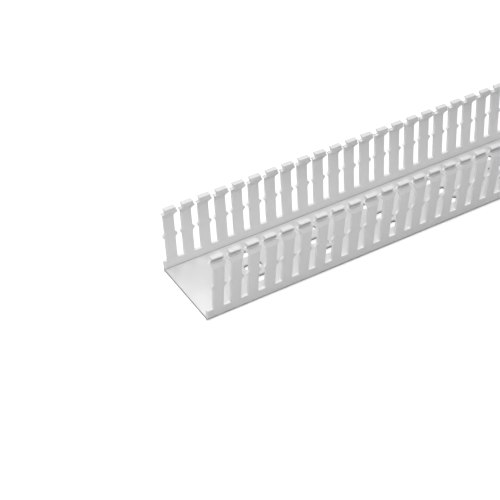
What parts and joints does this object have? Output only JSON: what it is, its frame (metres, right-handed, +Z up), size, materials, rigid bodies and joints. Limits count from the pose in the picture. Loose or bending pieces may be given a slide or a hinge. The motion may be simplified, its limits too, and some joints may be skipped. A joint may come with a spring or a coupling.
{
  "type": "slotted wire duct",
  "caption": "Open slotted U-channel wire duct in rigid plastic, with punched fingers, wire-retaining teeth, lips for a clip cover and oblong fixing holes in the base.",
  "frame": {"origin": "centre of the underside of the base", "axes": "+X along the duct, +Y across it, +Z up out of its open top"},
  "size_m": [1, 0.0626, 0.0486],
  "materials": {
    "duct": "extruded light grey PVC, fine satin sheen"
  },
  "bodies": {
    "root": {"duct": "duct"}
  },
  "joints": []
}
